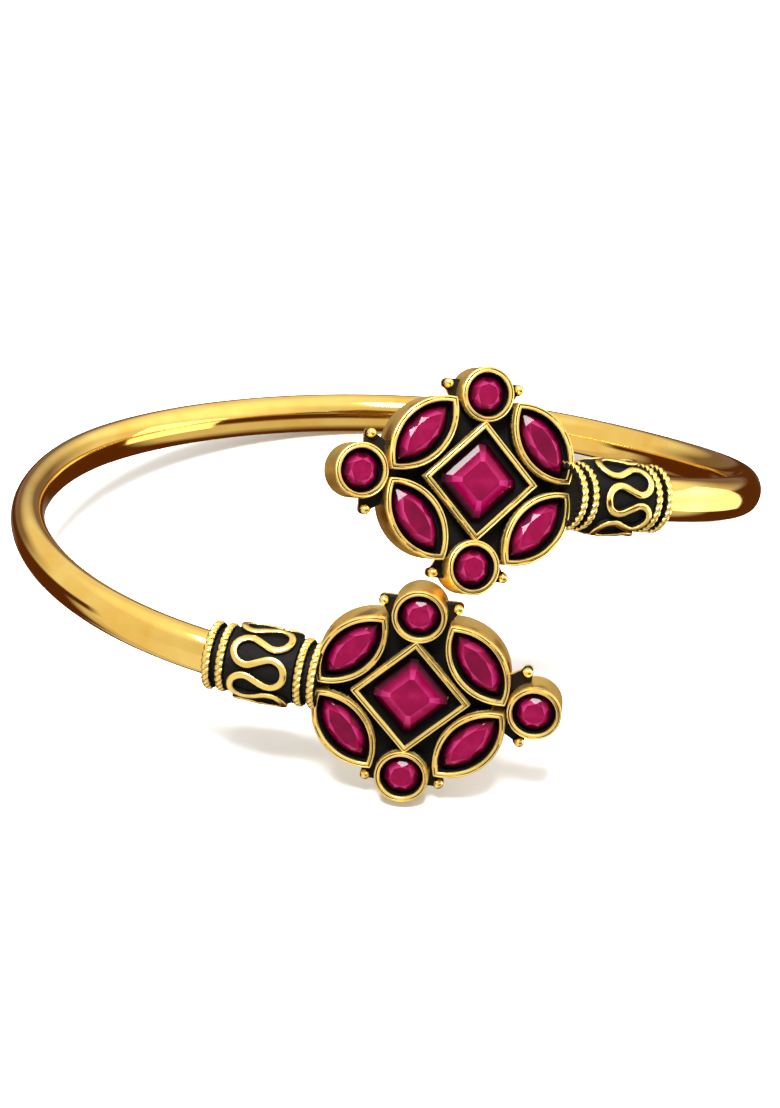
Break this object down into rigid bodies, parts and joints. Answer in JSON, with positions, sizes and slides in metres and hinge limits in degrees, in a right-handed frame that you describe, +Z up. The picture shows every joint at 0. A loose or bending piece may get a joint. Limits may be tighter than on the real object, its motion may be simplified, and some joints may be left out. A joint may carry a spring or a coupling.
{
  "type": "open bypass bangle",
  "caption": "Open bypass bangle of polished rod, its two ends passing each other at the front, each with a rope-edged collar and a flower head set with cut stones.",
  "frame": {"origin": "on the table under the middle of the bangle's bounding box", "axes": "+Z up from the table on which the bangle lies, -Y towards the two heads at the front, +X towards the upper head's collar"},
  "size_m": [0.0663, 0.0626, 0.033],
  "materials": {
    "rod_gold": "mirror-polished gold-tone metal",
    "head_gold": "gold-tone casting, rims and scroll bright, ground blackened",
    "ruby_stone": "polished pink-red cut stone, dark at its edges"
  },
  "bodies": {
    "root": {"band": "rod_gold", "upper_head": "head_gold", "lower_head": "head_gold", "upper_square_stone": "ruby_stone", "upper_marquise_stone_1": "ruby_stone", "upper_marquise_stone_2": "ruby_stone", "upper_marquise_stone_3": "ruby_stone", "upper_marquise_stone_4": "ruby_stone", "upper_round_stone_1": "ruby_stone", "upper_round_stone_2": "ruby_stone", "upper_round_stone_3": "ruby_stone", "lower_square_stone": "ruby_stone", "lower_marquise_stone_1": "ruby_stone", "lower_marquise_stone_2": "ruby_stone", "lower_marquise_stone_3": "ruby_stone", "lower_marquise_stone_4": "ruby_stone", "lower_round_stone_1": "ruby_stone", "lower_round_stone_2": "ruby_stone", "lower_round_stone_3": "ruby_stone"}
  },
  "joints": []
}
